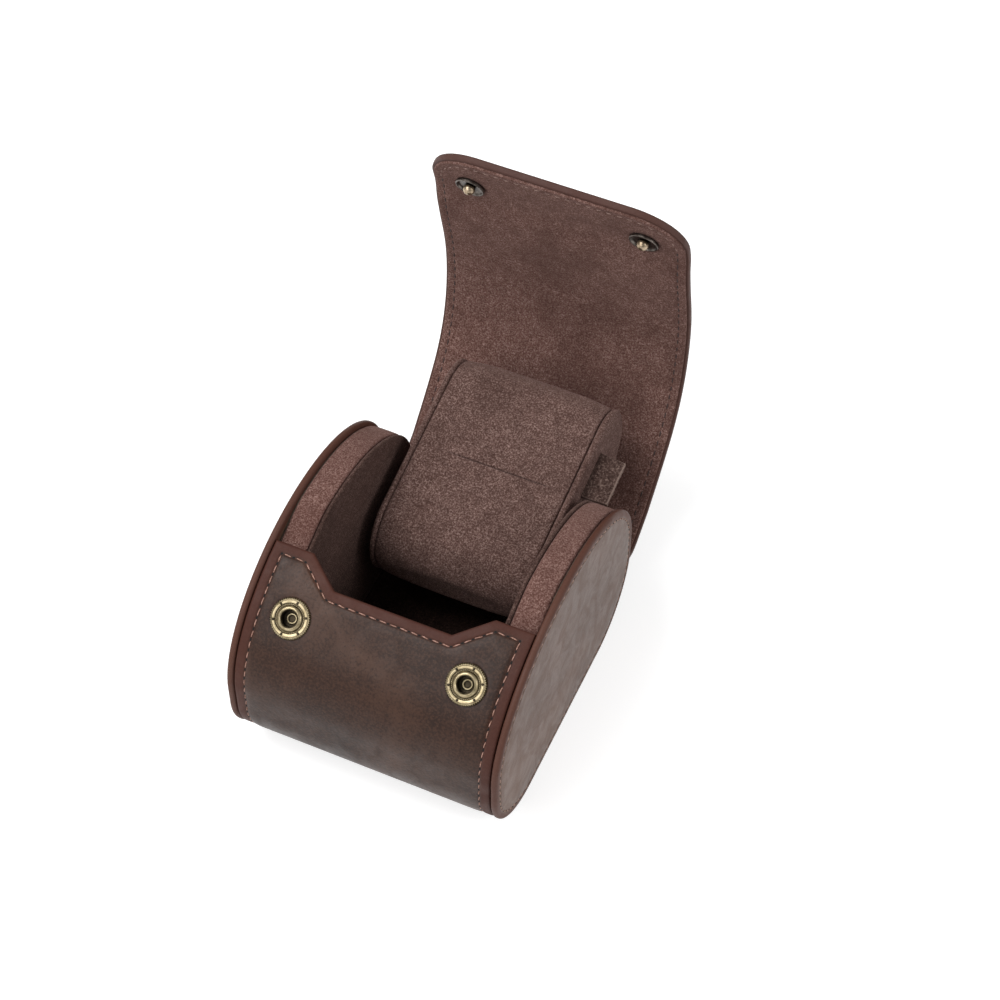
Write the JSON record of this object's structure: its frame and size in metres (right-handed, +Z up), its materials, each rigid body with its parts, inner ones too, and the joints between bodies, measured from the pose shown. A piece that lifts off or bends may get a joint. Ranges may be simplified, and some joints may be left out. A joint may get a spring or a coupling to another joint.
{
  "type": "watch travel case",
  "caption": "Oval leather travel case for a watch, open: a suede-lined flap turned back on its folds, snap fasteners, and a soft suede cushion with a pull tab slid out behind.",
  "frame": {"origin": "middle of the case's flat base, on the table", "axes": "+X across the case to its right end, +Y to the back where the flap turns over, +Z up"},
  "size_m": [0.088, 0.1527, 0.1354],
  "materials": {
    "outer_leather": "satin",
    "suede_lining": "matte",
    "cushion_suede": "matte",
    "stiffener": "matte",
    "plug_core": "matte",
    "cushion_fill": "matte",
    "socket_brass": "satin",
    "stud_metal": "satin"
  },
  "bodies": {
    "case": {"base_leather": "outer_leather", "base_board": "stiffener", "base_lining": "suede_lining", "left_end_leather": "outer_leather", "right_end_leather": "outer_leather", "left_end_board": "stiffener", "right_end_board": "stiffener", "left_plug_core": "plug_core", "right_plug_core": "plug_core", "left_plug_skin": "suede_lining", "right_plug_skin": "suede_lining", "left_plug_face": "suede_lining", "right_plug_face": "suede_lining", "left_socket": "socket_brass", "right_socket": "socket_brass", "left_socket_post": "socket_brass", "right_socket_post": "socket_brass", "left_socket_spring": "socket_brass", "right_socket_spring": "socket_brass"},
    "flap_back": {"back_leather": "outer_leather", "back_board": "stiffener", "back_lining": "suede_lining"},
    "flap_crown": {"crown_leather": "outer_leather", "crown_board": "stiffener", "crown_lining": "suede_lining"},
    "flap_tongue": {"tongue_leather": "outer_leather", "tongue_board": "stiffener", "tongue_lining": "suede_lining", "left_stud": "stud_metal", "right_stud": "stud_metal", "left_stud_cap": "stud_metal", "right_stud_cap": "stud_metal"},
    "cushion": {"cushion_core": "cushion_fill", "cushion_wrap": "cushion_suede", "left_cushion_cap": "cushion_suede", "right_cushion_cap": "cushion_suede"},
    "pull_tab": {"pull_tab": "cushion_suede"}
  },
  "joints": [
    {"name": "flap_hinge", "type": "hinge", "parent": "case", "child": "flap_back", "pos_m": [0, 0.04612, 0.00878], "axis": [1, 0, 0], "range_deg": [-8, 57], "deforming": ["pull_tab"]},
    {"name": "shoulder_bend", "type": "hinge", "parent": "flap_back", "child": "flap_crown", "pos_m": [0, 0.08005, 0.02451], "axis": [1, 0, 0], "range_deg": [-5, 25]},
    {"name": "tongue_bend", "type": "hinge", "parent": "flap_crown", "child": "flap_tongue", "pos_m": [0, 0.09496, 0.10186], "axis": [1, 0, 0], "range_deg": [-10, 25]},
    {"name": "cushion_slide", "type": "hinge", "parent": "case", "child": "cushion", "pos_m": [0, -0.01905, 0.28147], "axis": [1, 0, 0], "range_deg": [-12.5, 3]},
    {"name": "tab_flex", "type": "hinge", "parent": "cushion", "child": "pull_tab", "pos_m": [0.0284, 0.05507, 0.04903], "axis": [0, 0.9763, 0.2164], "range_deg": [-13, 85]}
  ],
  "couplings": [
    {"joint": "shoulder_bend", "follows": "flap_hinge", "ratio": 0.4386},
    {"joint": "cushion_slide", "follows": "flap_hinge", "ratio": -0.2193},
    {"joint": "tab_flex", "follows": "flap_hinge", "ratio": 1.4912}
  ]
}
